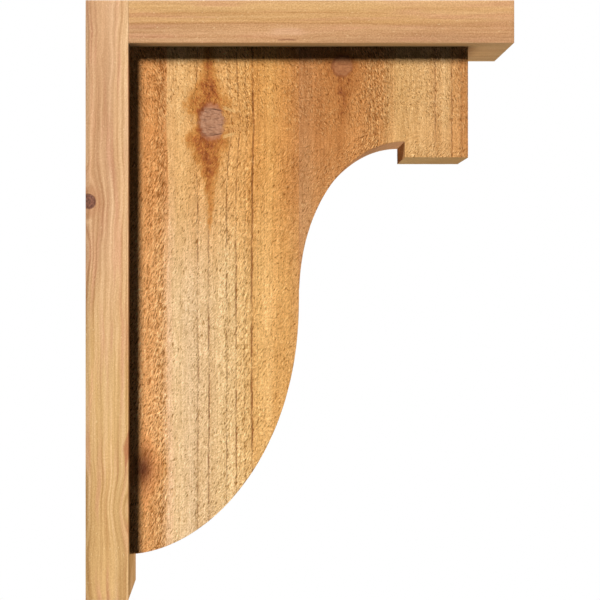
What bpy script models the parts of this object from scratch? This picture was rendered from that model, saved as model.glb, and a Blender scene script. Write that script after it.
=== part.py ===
# Built-up timber corbel bracket: an upright board for the wall, a level board
# on top, and a thick rough-sawn panel of two glued planks that fills the corner
# and ends in an S-curve, a small step and a square tab.
#
# Frame: +X out from the wall, +Y across the bracket, +Z up.
# Origin: the centre of the upright board's back face, which lies on the wall.

import math

import bmesh
import bpy

for old in list(bpy.data.objects):
    bpy.data.objects.remove(old, do_unlink=True)

INCH = 0.0254

# Overall sizes
PROJECTION = 20.0 * INCH      # wall to the outer end of the level board
HEIGHT = 28.0 * INCH          # bottom to top of the upright board
BOARD_WIDTH = 5.5 * INCH      # both boards, across the bracket
BOARD_THICKNESS = 2.0 * INCH  # both boards
EDGE_EASE = 0.0008            # sanded corner of the planed boards

# Panel of two planks
PANEL_THICKNESS = 3.5 * INCH  # across the bracket, centred: 1 in recess a side
SEAM_X = 10.0 * INCH          # glued joint of the two planks
PANEL_END_X = 18.0 * INCH     # outer face of the tab
TAB_INNER_X = 15.0 * INCH     # inner face of the tab
TAB_DROP = 7.25 * INCH        # top of the bracket to the underside of the tab
STEP_DROP = 6.5 * INCH        # top of the bracket to the top of the step
TURN_DROP = 14.0 * INCH       # top of the bracket to the turn of the S-curve
PANEL_DROP = 26.0 * INCH      # top of the bracket to the foot of the panel

# Fullness of the two halves of the S-curve. An exponent of 2 is an ellipse.
BELLY_FULLNESS_X = 1.8
BELLY_FULLNESS_Z = 2.1
HOLLOW_FULLNESS_X = 2.0
HOLLOW_FULLNESS_Z = 2.1
CURVE_STEPS = 64

# Clearance of a dry joint, split between the two touching pieces at the seam
JOINT_GAP = 0.0003

TOP_Z = HEIGHT / 2.0


def quarter_curve(steps, fullness_x, fullness_z):
    """Unit quarter of a full ellipse, from (1, 0) to (0, 1)."""
    points = []
    for i in range(steps + 1):
        a = 0.5 * math.pi * i / steps
        u = max(math.cos(a), 0.0) ** (2.0 / fullness_x)
        v = max(math.sin(a), 0.0) ** (2.0 / fullness_z)
        points.append((u, v))
    points[0] = (1.0, 0.0)
    points[-1] = (0.0, 1.0)
    return points


def inner_plank_outline():
    """Corner of the panel at the wall, with the convex half of the curve."""
    left = BOARD_THICKNESS + JOINT_GAP
    right = SEAM_X - JOINT_GAP / 2.0
    top = TOP_Z - BOARD_THICKNESS - JOINT_GAP
    turn = TOP_Z - TURN_DROP
    foot = TOP_Z - PANEL_DROP
    outline = [(left, top)]
    belly = quarter_curve(CURVE_STEPS, BELLY_FULLNESS_X, BELLY_FULLNESS_Z)
    for u, v in reversed(belly):
        x = left + u * (right - left)
        z = turn - v * (turn - foot)
        outline.append((x, z))
    outline.append((right, top))
    return outline


def outer_plank_outline():
    """Outer half of the panel: concave curve, step and tab."""
    left = SEAM_X + JOINT_GAP / 2.0
    top = TOP_Z - BOARD_THICKNESS - JOINT_GAP
    turn = TOP_Z - TURN_DROP
    step = TOP_Z - STEP_DROP
    tab = TOP_Z - TAB_DROP
    outline = [(left, top)]
    hollow = quarter_curve(CURVE_STEPS, HOLLOW_FULLNESS_X, HOLLOW_FULLNESS_Z)
    span_x = TAB_INNER_X - SEAM_X
    span_z = step - turn
    curve = [(TAB_INNER_X - u * span_x, turn + v * span_z) for u, v in hollow]
    # The curve leaves the seam as a feather edge, cut where it meets the joint.
    for (x0, z0), (x1, z1) in zip(curve, curve[1:]):
        if x0 <= left < x1:
            t = (left - x0) / (x1 - x0)
            outline.append((left, z0 + t * (z1 - z0)))
            break
    outline.extend(p for p in curve if p[0] > left + 0.0001)
    outline.append((TAB_INNER_X, tab))
    outline.append((PANEL_END_X, tab))
    outline.append((PANEL_END_X, top))
    return outline


def wood(name, colour, roughness):
    material = bpy.data.materials.new(name)
    material.use_nodes = True
    shader = material.node_tree.nodes["Principled BSDF"]
    shader.inputs["Base Color"].default_value = (*colour, 1.0)
    shader.inputs["Roughness"].default_value = roughness
    shader.inputs["Metallic"].default_value = 0.0
    material.diffuse_color = (*colour, 1.0)
    return material


def add_object(name, bm, material):
    mesh = bpy.data.meshes.new(name)
    bmesh.ops.recalc_face_normals(bm, faces=bm.faces)
    bm.to_mesh(mesh)
    bm.free()
    mesh.materials.append(material)
    obj = bpy.data.objects.new(name, mesh)
    bpy.context.collection.objects.link(obj)
    return obj


def board(name, size, centre, material):
    """Planed board with sanded corners, placed by its location."""
    bm = bmesh.new()
    bmesh.ops.create_cube(bm, size=1.0)
    bmesh.ops.scale(bm, vec=size, verts=bm.verts)
    obj = add_object(name, bm, material)
    obj.location = centre
    ease = obj.modifiers.new("sanded_corners", "BEVEL")
    ease.width = EDGE_EASE
    ease.segments = 2
    ease.limit_method = "ANGLE"
    return obj


def plank(name, outline, thickness, material):
    """Sawn plank: its outline in the XZ plane, drawn out across the bracket."""
    bm = bmesh.new()
    near = [bm.verts.new((x, -thickness / 2.0, z)) for x, z in outline]
    face = bm.faces.new(near)
    drawn = bmesh.ops.extrude_face_region(bm, geom=[face])
    far = [g for g in drawn["geom"] if isinstance(g, bmesh.types.BMVert)]
    bmesh.ops.translate(bm, vec=(0.0, thickness, 0.0), verts=far)
    obj = add_object(name, bm, material)
    obj.data.shade_smooth()
    obj.data.set_sharp_from_angle(angle=math.radians(30.0))
    return obj


leg_wood = wood("planed_cedar_leg", (0.68, 0.42, 0.23), 0.55)
arm_wood = wood("planed_cedar_arm", (0.67, 0.40, 0.18), 0.55)
inner_wood = wood("sawn_cedar_inner", (0.62, 0.34, 0.13), 0.8)
outer_wood = wood("sawn_cedar_outer", (0.55, 0.28, 0.11), 0.8)

bracket = bpy.data.objects.new("bracket", None)
bpy.context.collection.objects.link(bracket)

wall_leg = board(
    "wall_leg",
    (BOARD_THICKNESS, BOARD_WIDTH, HEIGHT),
    (BOARD_THICKNESS / 2.0, 0.0, 0.0),
    leg_wood,
)

arm_start = BOARD_THICKNESS + JOINT_GAP
top_arm = board(
    "top_arm",
    (PROJECTION - arm_start, BOARD_WIDTH, BOARD_THICKNESS),
    ((PROJECTION + arm_start) / 2.0, 0.0, TOP_Z - BOARD_THICKNESS / 2.0),
    arm_wood,
)

inner_plank = plank("inner_plank", inner_plank_outline(), PANEL_THICKNESS, inner_wood)
outer_plank = plank("outer_plank", outer_plank_outline(), PANEL_THICKNESS, outer_wood)

for piece in (wall_leg, top_arm, inner_plank, outer_plank):
    piece.parent = bracket
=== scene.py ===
import math

import bpy
import numpy as np
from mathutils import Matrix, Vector
from mathutils.geometry import delaunay_2d_cdt


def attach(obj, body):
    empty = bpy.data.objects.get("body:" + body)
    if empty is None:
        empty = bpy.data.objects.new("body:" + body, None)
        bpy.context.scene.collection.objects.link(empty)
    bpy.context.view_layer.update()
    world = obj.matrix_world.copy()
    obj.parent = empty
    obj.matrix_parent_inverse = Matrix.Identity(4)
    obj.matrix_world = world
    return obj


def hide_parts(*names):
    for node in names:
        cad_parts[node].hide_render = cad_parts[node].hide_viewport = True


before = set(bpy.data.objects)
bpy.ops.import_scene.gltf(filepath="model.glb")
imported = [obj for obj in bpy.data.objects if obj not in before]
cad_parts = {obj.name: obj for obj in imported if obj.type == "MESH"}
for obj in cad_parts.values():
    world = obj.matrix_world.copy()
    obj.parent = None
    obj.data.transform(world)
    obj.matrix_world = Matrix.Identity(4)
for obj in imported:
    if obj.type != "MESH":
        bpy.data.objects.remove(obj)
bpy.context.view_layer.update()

INCH = 0.0254
TOP_Z = 0.3556  # top of the bracket above the origin

# Sizes as in the solids, in inches. T is the height below the top, so T <= 0.
BOARD_W = 5.5
BOARD_T = 2.0
DEPTH = 20.0
HEIGHT = 28.0
PANEL_T = 3.5
SEAM_X = 10.0
PANEL_END_X = 18.0
TAB_X = 15.0
TAB_T = -7.25
STEP_T = -6.5
TURN_T = -14.0
FOOT_T = -26.0


# ---------------------------------------------------------------- noise

def lattice(ix, iy, iz, seed):
    h = (ix.astype(np.uint32) * np.uint32(374761393)
         + iy.astype(np.uint32) * np.uint32(668265263)
         + iz.astype(np.uint32) * np.uint32(2246822519)
         + np.uint32((seed * 3266489917) & 0xFFFFFFFF))
    h ^= h >> np.uint32(13)
    h *= np.uint32(1274126177)
    h ^= h >> np.uint32(16)
    h *= np.uint32(2654435761)
    h ^= h >> np.uint32(15)
    return h.astype(np.float64) / 4294967296.0


def noise(x, y, z, seed=0):
    """Smooth value noise in -1..1."""
    x, y, z = np.broadcast_arrays(x, y, z)
    ix, iy, iz = (np.floor(c).astype(np.int64) for c in (x, y, z))
    fx, fy, fz = x - ix, y - iy, z - iz
    fx, fy, fz = (f * f * f * (f * (f * 6 - 15) + 10) for f in (fx, fy, fz))
    out = 0.0
    for dx in (0, 1):
        for dy in (0, 1):
            for dz in (0, 1):
                w = ((fx if dx else 1 - fx) * (fy if dy else 1 - fy)
                     * (fz if dz else 1 - fz))
                out = out + w * lattice(ix + dx, iy + dy, iz + dz, seed)
    return out * 2 - 1


def fbm(x, y, z, seed=0, octaves=3, gain=0.5):
    total, amp, norm = 0.0, 1.0, 0.0
    for o in range(octaves):
        k = 2.0 ** o
        total = total + amp * noise(x * k, y * k, z * k, seed + 17 * o)
        norm += amp
        amp *= gain
    return total / norm


def step01(x, lo, hi):
    t = np.clip((x - lo) / (hi - lo), 0.0, 1.0)
    return t * t * (3 - 2 * t)


def bell(x, centre, half):
    return np.exp(-((x - centre) / half) ** 2)


# ---------------------------------------------------------------- wood fields
# Each field takes X (out from the wall), Y (across) and T (height) in inches.
# u counts growth rings: on the near face of a board it is the distance across
# the grain, and it bends through the thickness as rings round a far pith do.

def ring_u(a, b, a_pith, b_pith, b_face, side):
    q = (a - a_pith) ** 2 + (b - b_pith) ** 2 - (b_face - b_pith) ** 2
    return a_pith + side * np.sqrt(np.maximum(q, 1e-4))


def knot_fields(knots, X, Y, T, u, across="x"):
    """Pushes the rings aside round each branch. Returns u, the smallest branch
    radius e (1 on the branch's rim), the flame above and below a branch (over 0
    inside it), the cap coordinate (1 and -1 on the two checks that cross a
    branch) and the fibres that spill sideways from it."""
    e_min = np.full_like(X, 9.0)
    flame = np.full_like(X, -1.0)
    cap = np.zeros_like(X)
    spill = np.zeros_like(X)
    for n, k in enumerate(knots):
        d = Y - k["face"]
        grow = 1.0 + k.get("taper", 0.0) * d
        alive = step01(grow, 0.25, 0.6)  # a short branch ends inside the board
        size = np.clip(grow, 0.25, 1.6)
        dx = X - (k["x"] + k.get("lean_x", 0.0) * d)
        dt = T - (k["t"] + k.get("lean_t", 0.0) * d)
        a, l = (dx, dt) if across == "x" else (dt, dx)
        ra, rl = (k["rx"], k["rt"]) if across == "x" else (k["rt"], k["rx"])
        ra, rl = ra * size, rl * size
        wob = 0.07 * noise(X * 3.1, Y * 0.8, T * 3.1, 40 + n)
        e = np.sqrt((a / ra) ** 2 + (l / rl) ** 2) * (1 + wob)
        push = (k.get("push", 0.8) * ra * np.tanh(a / (0.45 * ra))
                * np.exp(-(np.abs(l) / (k.get("reach", 2.0) * rl)) ** 1.6)
                * np.exp(-(a / (k.get("spread", 3.2) * ra)) ** 2))
        u = u - push * alive
        if "flame_w" in k:
            s = np.maximum(np.abs(l) - 0.5 * rl, 0.0)
            tail = np.where(l > 0, k["tail_up"], k["tail_down"])
            length = np.where(l > 0, k["flame_l"], k.get("flame_down", k["flame_l"]))
            half = (k["flame_w"] * np.exp(-(s / length) ** 1.5)
                    + k["tail_w"] * np.exp(-s / (1.5 * tail)) + 0.02)
            half = half * (1 - k.get("waist", 0.0) * np.exp(-(l / (0.75 * rl)) ** 2))
            off = (k.get("flame_off", 0.0) * np.exp(-(l / (2.5 * rl)) ** 2)
                   + 0.06 * noise(l * 0.9, Y * 0.5, 0 * l, 63 + n) * np.clip(s / rl, 0, 2))
            f = np.clip(1.1 - 1.1 * (np.abs(a - off) / half) ** 1.7, -1, 1.1)
            f = f - 2.2 * (1 - np.exp(-(s / (1.3 * tail)) ** 2.5)) - 2 * (1 - alive)
            f = f + k.get("core", 0.0) * np.exp(-(e / 0.9) ** 2)
            flame = np.maximum(flame, f)
        if "spill" in k:
            out = a * k["spill"]
            side = step01(out, 0.8 * ra, 1.25 * ra) * np.exp(-np.maximum(out - ra, 0) / (2.6 * ra))
            spill = np.maximum(spill, side * np.exp(-(l / (0.75 * rl)) ** 2) * alive)
        if k.get("ghost"):
            continue  # only the grain that swerves round a branch just off the board
        e = np.where(alive > 0.02, e / np.maximum(alive, 0.02), 9.0)
        closer = e < e_min
        e_min = np.where(closer, e, e_min)
        bow = l / (k.get("cap", 0.7) * rl) * (1 + 0.13 * (a / ra + 0.35) ** 2)
        cap = np.where(closer, bow if "cap" in k else 0.0, cap)
    return u, e_min, flame, np.clip(cap, -9, 9), spill


INNER_KNOTS = [
    dict(x=5.875, t=-5.58, rx=0.585, rt=0.90, face=-1.75, lean_x=-0.06, lean_t=-0.10,
         taper=-0.08, push=0.75, reach=1.7, spread=2.6, cap=0.70, spill=1.0,
         flame_w=0.90, flame_l=1.10, flame_down=1.18, tail_w=0.38, flame_off=-0.24,
         waist=0.68, tail_up=3.5, tail_down=3.7),
    dict(x=2.62, t=-21.95, rx=0.44, rt=0.66, face=-1.75, lean_x=-0.10, lean_t=0.05,
         taper=-0.05, push=0.4, reach=1.8, spread=2.6, core=1.3, ghost=True,
         flame_w=0.62, flame_l=0.95, tail_w=0.16, flame_off=0.08,
         tail_up=1.4, tail_down=1.5),
    dict(x=7.1, t=-12.4, rx=0.34, rt=0.46, face=1.75, lean_x=0.05, lean_t=0.1,
         taper=0.28, push=0.6, reach=2.0, spread=2.6,
         flame_w=0.45, flame_l=0.8, tail_w=0.20, tail_up=1.9, tail_down=2.1),
]
OUTER_KNOTS = [
    dict(x=12.07, t=-2.93, rx=0.46, rt=0.48, face=-1.75, lean_x=0.05, lean_t=-0.12,
         taper=-0.06, push=0.7, reach=2.0, spread=2.6,
         flame_w=0.50, flame_l=1.3, tail_w=0.38, flame_off=-0.04,
         tail_up=0.45, tail_down=3.2),
    dict(x=16.4, t=-4.6, rx=0.28, rt=0.36, face=1.75, lean_x=0.03, lean_t=0.05,
         taper=0.25, push=0.6, reach=2.0, spread=2.4,
         flame_w=0.35, flame_l=0.7, tail_w=0.15, tail_up=1.2, tail_down=1.4),
]
LEG_KNOTS = [
    dict(x=0.16, t=-9.39, rx=0.32, rt=0.34, face=-2.75, lean_x=0.04, lean_t=0.03,
         taper=-0.08, push=0.9, reach=3.2, spread=3.4),
    dict(x=2.16, t=-23.85, rx=0.48, rt=1.25, face=-2.75, lean_x=0.02, lean_t=0.0,
         taper=-0.05, push=0.95, reach=1.20, spread=2.4, ghost=True),
    dict(x=1.93, t=-20.93, rx=0.10, rt=0.22, face=-2.75, lean_x=0.0, lean_t=0.0,
         taper=-0.10, push=0.4, reach=1.6, spread=2.4, ghost=True,
         flame_w=0.16, flame_l=0.40, tail_w=0.06, tail_up=0.95, tail_down=1.2),
    dict(x=0.95, t=-2.9, rx=0.34, rt=1.0, face=-2.75, lean_x=0.0, lean_t=0.0,
         taper=-0.10, push=0.42, reach=1.0, spread=2.4, ghost=True),
    dict(x=1.0, t=-19.2, rx=0.26, rt=0.30, face=2.75, lean_x=0.0, lean_t=0.04,
         taper=0.16, push=0.8, reach=3.0, spread=3.0),
]
ARM_KNOTS = [
    dict(x=9.5, t=-2.0, rx=1.1, rt=0.22, face=-2.75, lean_x=0.0, lean_t=0.0,
         taper=-0.05, push=0.7, reach=1.2, spread=2.4, ghost=True),
    dict(x=11.3, t=-0.8, rx=0.30, rt=0.24, face=2.75, lean_x=0.05, lean_t=0.02,
         taper=0.16, push=0.8, reach=3.0, spread=3.0),
]


def inner_fields(X, Y, T):
    u = ring_u(X, Y, -6.0, 3.0, -1.75, 1.0)
    u = u + 0.035 * noise(X * 0.5, Y * 0.3, T * 0.22, 1) + 0.012 * noise(X * 2.0, Y, T * 0.8, 2)
    return knot_fields(INNER_KNOTS, X, Y, T, u)


def outer_fields(X, Y, T):
    u = ring_u(X, Y, 26.0, 4.0, -1.75, -1.0)
    u = u + 0.03 * noise(X * 0.5, Y * 0.3, T * 0.25, 5) + 0.012 * noise(X * 2.0, Y, T * 0.8, 6)
    return knot_fields(OUTER_KNOTS, X, Y, T, u)


def leg_fields(X, Y, T):
    u = np.sqrt((X + 3.2) ** 2 + (Y + 0.4) ** 2)
    wave = (0.13 * noise(X * 0.5, Y * 0.35, T * 0.34, 11)
            + 0.05 * noise(X * 1.3, Y * 0.8, T * 0.85, 12)
            + 0.018 * noise(X * 2.2, Y * 1.2, T * 2.1, 13))
    return knot_fields(LEG_KNOTS, X, Y, T, u + wave)


def arm_fields(X, Y, T):
    u = np.sqrt((T - 3.6) ** 2 + (Y - 0.5) ** 2)
    wave = (0.05 * noise(T * 0.9, Y * 0.35, X * 0.16, 21)
            + 0.014 * noise(T * 2.2, Y * 0.8, X * 0.7, 22))
    return knot_fields(ARM_KNOTS, X, Y, T, u + wave, across="t")


# ---------------------------------------------------------------- relief
# Depth in millimetres below the true surface, so a piece never grows.

def stroke_field(A, B, seed, angle, long_mm, wide_mm):
    """Short slanting tears: noise stretched along a slanting direction."""
    c, s = math.cos(angle), math.sin(angle)
    p = (A * c + B * s) * 25.4 / long_mm
    q = (-A * s + B * c) * 25.4 / wide_mm
    return noise(p, q, 0 * p + seed * 0.37, seed)


def sawn_depth(u, X, Y, T, e, torn, grooves, seed):
    """Rough-sawn face: slanting tears, ploughed latewood lines, torn pits."""
    turn = step01(T + 0.5 * noise(X * 0.5, Y, T * 0.5, seed + 3), -6.6, -5.4)
    down = stroke_field(X, T, seed + 1, math.radians(56), 8.0, 2.6)
    up = stroke_field(X, T, seed + 2, math.radians(-58), 8.0, 2.6)
    tears = turn * up + (1 - turn) * down
    rough = 0.40 + 0.60 * np.clip(sum(w * bell(u, c, h) for c, h, w in torn), 0, 1)
    depth = 0.34 * rough * (tears + 0.7)
    for centre, half, strength in grooves:
        dash = 0.55 + 0.45 * noise(T * 1.4, centre * 3.0, Y * 0.5, seed + 8)
        depth = depth + 0.42 * strength * dash * bell(u, centre, half)
    pit = noise(X * 4.4, Y * 3.0, T * 2.4, seed + 4)
    depth = depth + 1.1 * rough * np.clip(pit - 0.42, 0, 1)
    depth = depth + 0.10 * (1 + noise(X * 0.35, Y * 0.3, T * 0.3, seed + 5))
    depth = depth + 0.035 * (1 + np.sin(T * 2 * math.pi / 0.42 + 1.5 * noise(X * 0.4, Y, T * 0.4, seed + 6)))
    on_knot = 1 - step01(e, 0.85, 1.1)
    depth = depth * (1 - 0.55 * on_knot) + 0.05 * on_knot * (1 + np.sin(e * 22.0))
    return np.maximum(depth, 0.0)


def cut_depth(s, Y, seed):
    """Band-sawn edge: fine kerf marks that run across the thickness."""
    depth = 0.05 * (1 + np.sin(s * 2 * math.pi / 0.11 + 2.0 * noise(s * 1.5, Y * 0.5, 0 * s, seed)))
    return depth + 0.07 * (1 + noise(s * 2.5, Y * 1.2, 0 * s, seed + 1))


def planed_depth(u, A, Y, L, e, seed):
    """Planed face: harder ring lines stand a hair proud, faint knife waves."""
    rings = np.sin(u * 2 * math.pi / 0.17 + 1.8 * noise(u * 3.0, 0 * u, L * 0.06, seed))
    depth = 0.035 * (1 - rings) + 0.02 * (1 + noise(A * 1.1, Y * 1.1, L * 0.5, seed + 1))
    depth = depth + 0.012 * (1 + np.sin(L * 2 * math.pi / 0.30))
    check = np.clip(1 - np.abs(e - 0.98) / 0.10, 0, 1)
    return depth + 0.16 * check


# ---------------------------------------------------------------- meshes

def quarter_curve(fx, fz, steps=400):
    a = np.linspace(0, 0.5 * math.pi, steps + 1)
    u = np.clip(np.cos(a), 0, 1) ** (2.0 / fx)
    v = np.clip(np.sin(a), 0, 1) ** (2.0 / fz)
    u[0], v[0], u[-1], v[-1] = 1.0, 0.0, 0.0, 1.0
    return u, v


def resample(points, pitch):
    """Even steps along a path, its two ends kept."""
    p = np.asarray(points, float)
    d = np.hypot(*np.diff(p, axis=0).T)
    s = np.concatenate([[0], np.cumsum(d)])
    n = max(1, int(round(s[-1] / pitch)))
    t = np.linspace(0, s[-1], n + 1)
    return np.stack([np.interp(t, s, p[:, 0]), np.interp(t, s, p[:, 1])], 1)


def inner_paths():
    """Outline of the inner plank as named edges, anticlockwise seen from -Y."""
    left, right, top = BOARD_T + 0.012, SEAM_X - 0.0004, -BOARD_T - 0.012
    u, v = quarter_curve(1.8, 2.1)
    curve = np.stack([left + u * (right - left), TURN_T - v * (TURN_T - FOOT_T)], 1)[::-1]
    return [("side", [(left, top), tuple(curve[0])]),
            ("curve", curve),
            ("seam", [tuple(curve[-1]), (right, top)]),
            ("top", [(right, top), (left, top)])]


def outer_paths():
    left, top = SEAM_X + 0.0004, -BOARD_T - 0.012
    u, v = quarter_curve(2.0, 2.1)
    curve = np.stack([TAB_X - u * (TAB_X - SEAM_X), TURN_T + v * (STEP_T - TURN_T)], 1)
    first = int(np.argmax(curve[:, 0] > left + 0.010))
    x0, t0 = curve[first - 1]
    x1, t1 = curve[first]
    k = (left + 0.010 - x0) / (x1 - x0)
    start = (left + 0.010, t0 + k * (t1 - t0))
    curve = np.vstack([[start], curve[first:]])
    return [("seam_foot", [(left, start[1]), start]),
            ("curve", curve),
            ("step", [(TAB_X, STEP_T), (TAB_X, TAB_T)]),
            ("tab", [(TAB_X, TAB_T), (PANEL_END_X, TAB_T)]),
            ("end", [(PANEL_END_X, TAB_T), (PANEL_END_X, top)]),
            ("top", [(PANEL_END_X, top), (left, top)]),
            ("seam", [(left, top), (left, start[1])])]


def outline_of(paths, pitch):
    """Closed outline: points, their outward normals, edge names, and the outward normal of the segment from each point
    to the next.
    """
    pts, names, starts = [], [], []
    for name, path in paths:
        p = resample(path, pitch if name not in ("side", "seam", "top") else pitch * 1.3)
        starts.append(len(pts))
        pts.extend(p[:-1].tolist())
        names.extend([name] * (len(p) - 1))
    pts = np.array(pts)
    before, after = np.roll(pts, 1, 0), np.roll(pts, -1, 0)
    t1 = pts - before
    t2 = after - pts
    t1 /= np.linalg.norm(t1, axis=1)[:, None]
    t2 /= np.linalg.norm(t2, axis=1)[:, None]
    n1 = np.stack([t1[:, 1], -t1[:, 0]], 1)
    n2 = np.stack([t2[:, 1], -t2[:, 0]], 1)
    mitre = n1 + n2
    length = np.linalg.norm(mitre, axis=1)[:, None]
    mitre /= np.maximum(length, 1e-9)
    grow = 1.0 / np.clip((mitre * n1).sum(1), 0.5, 1.0)
    return pts, mitre * grow[:, None], names, n2


def inside(poly, pts):
    """Even-odd test of many points against one polygon."""
    x, y = pts[:, 0], pts[:, 1]
    hit = np.zeros(len(pts), bool)
    j = len(poly) - 1
    for i in range(len(poly)):
        xi, yi = poly[i]
        xj, yj = poly[j]
        cross = (yi > y) != (yj > y)
        with np.errstate(divide="ignore", invalid="ignore"):
            at = (xj - xi) * (y - yi) / (yj - yi) + xi
        hit ^= cross & (x < at)
        j = i
    return hit


def nearest(poly, pts, cell):
    """Distance from each point to the closest outline point, by coarse cells."""
    out = np.full(len(pts), 9.0)
    keys = np.floor(pts / cell).astype(int)
    table = {}
    for i, (a, b) in enumerate(np.floor(poly / cell).astype(int)):
        table.setdefault((a, b), []).append(i)
    order = np.lexsort((keys[:, 1], keys[:, 0]))
    cuts = np.flatnonzero(np.any(np.diff(keys[order], axis=0) != 0, axis=1)) + 1
    for group in np.split(order, cuts):
        a, b = keys[group[0]]
        near = [i for da in (-1, 0, 1) for db in (-1, 0, 1) for i in table.get((a + da, b + db), ())]
        if near:
            d = pts[group][:, None] - poly[near][None]
            out[group] = np.sqrt((d ** 2).sum(2).min(1))
    return out


def plank_mesh(name, paths, grid, pitch, rows, fields, depth_face, seed, tip, uv_plan):
    half = PANEL_T / 2
    pts, mitre, names, normal = outline_of(paths, pitch)
    M = len(pts)
    ease = np.full(M, 0.022)
    ease[[n in ("seam", "top", "side", "seam_foot") for n in names]] = 0.004
    if tip is not None:
        far = np.hypot(pts[:, 0] - tip[0], pts[:, 1] - tip[1])
        ease = ease * (0.08 + 0.92 * step01(far, 0.1, 2.5))
    face_loop = pts - mitre * ease[:, None]

    lo, hi = pts.min(0), pts.max(0)
    gx = np.arange(lo[0] + grid[0] * 0.5, hi[0], grid[0])
    gt = np.arange(lo[1] + grid[1] * 0.5, hi[1], grid[1])
    cloud = np.array([(x, t) for x in gx for t in gt])
    cloud = cloud[inside(face_loop, cloud)]
    cloud = cloud[nearest(face_loop, cloud, 0.16) > 0.55 * min(grid)]
    flat = np.vstack([face_loop, cloud])
    loops = [(i, (i + 1) % M) for i in range(M)]
    verts2, _, tris, origin, _, _ = delaunay_2d_cdt(
        [Vector(p) for p in (flat * 10.0).tolist()], loops, [], 1, 1e-6)
    flat2 = np.array([v[:] for v in verts2]) / 10.0
    place = np.full(len(flat), -1)
    for new, olds in enumerate(origin):
        for old in olds:
            place[old] = new
    N = len(flat2)
    tris = np.array([list(t) for t in tris], int)

    # rings of the wall between the two faces
    r = ease
    ys, insets = [], []
    inner_y = np.linspace(-half + 0.03, half - 0.03, rows)
    ring_defs = [(-half, 1.0, "near"), (None, 0.29, "near"), (None, 0.0, "near")]
    coords = []
    co_near = np.stack([flat2[:, 0], np.full(N, -half), flat2[:, 1]], 1)
    co_far = np.stack([flat2[:, 0], np.full(N, half), flat2[:, 1]], 1)
    coords = [co_near, co_far]
    ring_ids = [place[:M]]
    base = 2 * N
    wall_normal = []
    for k, frac in ((1, 0.29), (2, 0.0)):
        p = pts - mitre * (r * frac)[:, None]
        y = -half + r * (1 - frac if k == 2 else 0.29)
        coords.append(np.stack([p[:, 0], y, p[:, 1]], 1))
        ring_ids.append(np.arange(base, base + M))
        base += M
    for y in inner_y[1:-1]:
        coords.append(np.stack([pts[:, 0], np.full(M, y), pts[:, 1]], 1))
        ring_ids.append(np.arange(base, base + M))
        base += M
    for k, frac in ((2, 0.0), (1, 0.29)):
        p = pts - mitre * (r * frac)[:, None]
        y = half - r * (1 - frac if k == 2 else 0.29)
        coords.append(np.stack([p[:, 0], y, p[:, 1]], 1))
        ring_ids.append(np.arange(base, base + M))
        base += M
    ring_ids.append(place[:M] + N)
    co = np.vstack(coords)

    # grain at every vertex, from the true surface
    X, Y, T = co[:, 0], co[:, 1], co[:, 2]
    u, e, flame, cap, spill = fields(X, Y, T)

    # relief: faces sink along Y, the wall sinks along its own normal
    shift = np.zeros_like(co)
    d = depth_face(u[:2 * N], X[:2 * N], Y[:2 * N], T[:2 * N], e[:2 * N]) / 25.4
    rim = np.zeros(2 * N)
    rim[place[:M]] = 1
    rim[place[:M] + N] = 1
    shift[:N, 1] += d[:N]
    shift[N:2 * N, 1] -= d[N:]
    seg = np.linalg.norm(np.roll(pts, -1, 0) - pts, axis=1)
    arc = np.concatenate([[0], np.cumsum(seg)[:-1]])
    hidden = np.array([n in ("seam", "top", "side", "seam_foot") for n in names])
    soft = np.where(hidden, 0.0, 1.0)
    if tip is not None:
        soft = soft * step01(np.hypot(pts[:, 0] - tip[0], pts[:, 1] - tip[1]), 0.2, 2.0)
    soft = np.minimum(soft, np.minimum(np.roll(soft, 1), np.roll(soft, -1)))
    for ids in ring_ids[1:-1]:
        y = co[ids, 1]
        dw = cut_depth(arc, y, seed + 30) / 25.4 * soft
        shift[ids, 0] -= mitre[:, 0] * dw
        shift[ids, 2] -= mitre[:, 1] * dw
        near_face = np.exp(-((half - np.abs(y)) / 0.05))
        follow = np.where(y < 0, d[place[:M]], -d[place[:M] + N]) * near_face
        shift[ids, 1] += follow * np.where(hidden, 1.0, 1.0)
    co = co + shift

    # faces and their map
    near = tris
    far = tris[:, ::-1] + N
    quads = []
    quad_uv = []
    K = len(ring_ids)
    nxt = (np.arange(M) + 1) % M
    along = np.linspace(0, 1, K)
    ring_y = np.array([co[ids, 1].mean() for ids in ring_ids])
    quad_at = []
    for k in range(K - 1):
        a, b = ring_ids[k], ring_ids[k + 1]
        quads.append(np.stack([a, b, b[nxt], a[nxt]], 1))
        quad_at.append(np.stack([np.arange(M), np.full(M, k)], 1))
    quads = np.vstack(quads)
    quad_at = np.vstack(quad_at)

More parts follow.
